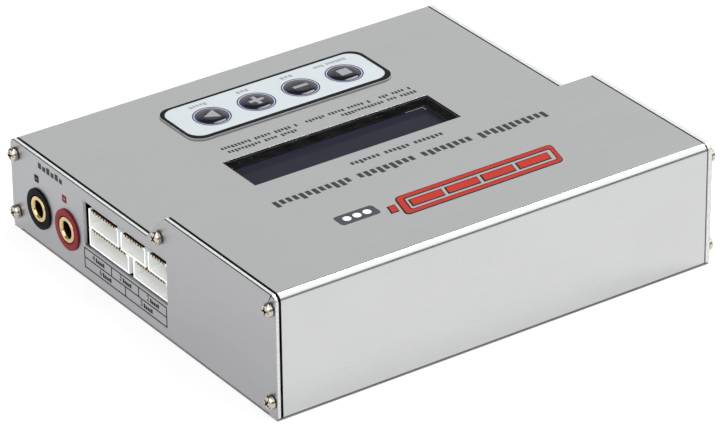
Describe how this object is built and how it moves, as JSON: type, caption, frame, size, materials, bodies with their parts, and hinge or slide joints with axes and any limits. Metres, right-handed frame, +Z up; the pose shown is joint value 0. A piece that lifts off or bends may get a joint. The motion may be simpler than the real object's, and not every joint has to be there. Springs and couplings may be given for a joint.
{
  "type": "balance battery charger",
  "caption": "Stepped aluminium case with a sunk display, four round push buttons, two output sockets, balance plug ports, a mains inlet, a DC jack and a cooling fan.",
  "frame": {"origin": "middle of the case on the surface that its two foot rails stand on", "axes": "+X from the input end (mains inlet, DC jack, fan) to the output end (sockets, balance ports), +Y from the low front with the buttons to the raised back, +Z up"},
  "size_m": [0.1458, 0.131, 0.0367],
  "materials": {
    "case_shell": "satin brushed, clear anodised silver",
    "end_plate": "fine satin silver",
    "screw": "bright nickel plated",
    "keypad_film": "printed film, pale blue white with a black border",
    "button": "glossy black dome",
    "black_plastic": "moulded black",
    "red_plastic": "moulded dark red",
    "display_glass": "dark blue black display glass",
    "brass": "bright",
    "white_nylon": "moulded white",
    "circuit_board": "green solder mask",
    "copper": "enamelled copper wire",
    "ferrite": "dark sintered ferrite",
    "capacitor_sleeve": "dark blue shrink sleeve",
    "heatsink": "extruded"
  },
  "bodies": {
    "case": {"balance_board": "circuit_board", "balance_port_2_cells": "white_nylon", "balance_port_3_cells": "white_nylon", "balance_port_4_cells": "white_nylon", "balance_port_5_cells": "white_nylon", "balance_port_6_cells": "white_nylon", "board_standoff_1": "brass", "board_standoff_2": "brass", "board_standoff_3": "brass", "board_standoff_4": "brass", "bottom_plate": "case_shell", "buzzer": "black_plastic", "control_board": "circuit_board", "dc_jack_body": "black_plastic", "dc_jack_pin": "brass", "display_frame": "black_plastic", "display_glass": "display_glass", "fan_frame": "black_plastic", "heatsink": "heatsink", "inductor_coil": "copper", "input_end_plate": "end_plate", "input_plate_screw_1": "screw", "input_plate_screw_2": "screw", "input_plate_screw_3": "screw", "input_plate_screw_4": "screw", "input_plate_screw_5": "screw", "keypad_overlay": "keypad_film", "main_board": "circuit_board", "mains_capacitor": "capacitor_sleeve", "mains_inlet_body": "black_plastic", "mains_inlet_earth_pin": "brass", "mains_inlet_line_pin": "brass", "mains_inlet_neutral_pin": "brass", "microcontroller": "black_plastic", "minus_switch": "black_plastic", "negative_socket_body": "black_plastic", "negative_socket_sleeve": "brass", "output_end_plate": "end_plate", "output_plate_screw_1": "screw", "output_plate_screw_2": "screw", "output_plate_screw_3": "screw", "output_plate_screw_4": "screw", "output_plate_screw_5": "screw", "plus_switch": "black_plastic", "positive_socket_body": "red_plastic", "positive_socket_sleeve": "brass", "power_supply_board": "circuit_board", "sensor_port": "white_nylon", "start_switch": "black_plastic", "stop_switch": "black_plastic", "transformer_core": "ferrite", "transformer_windings": "copper", "upper_shell": "case_shell"},
    "stop_button": {"stop_button": "button"},
    "minus_button": {"minus_button": "button"},
    "plus_button": {"plus_button": "button"},
    "start_button": {"start_button": "button"},
    "fan_rotor": {"fan_rotor": "black_plastic"}
  },
  "joints": [
    {"name": "stop_press", "type": "slide", "parent": "case", "child": "stop_button", "axis": [0, 0, -1], "range_m": [0, 0.0005], "stiffness_N_per_m": 1500},
    {"name": "minus_press", "type": "slide", "parent": "case", "child": "minus_button", "axis": [0, 0, -1], "range_m": [0, 0.0005], "stiffness_N_per_m": 1500},
    {"name": "plus_press", "type": "slide", "parent": "case", "child": "plus_button", "axis": [0, 0, -1], "range_m": [0, 0.0005], "stiffness_N_per_m": 1500},
    {"name": "start_press", "type": "slide", "parent": "case", "child": "start_button", "axis": [0, 0, -1], "range_m": [0, 0.0005], "stiffness_N_per_m": 1500},
    {"name": "fan_spin", "type": "hinge", "parent": "case", "child": "fan_rotor", "pos_m": [-0.064, 0.019, 0.0145], "axis": [-1, 0, 0], "continuous": true}
  ]
}
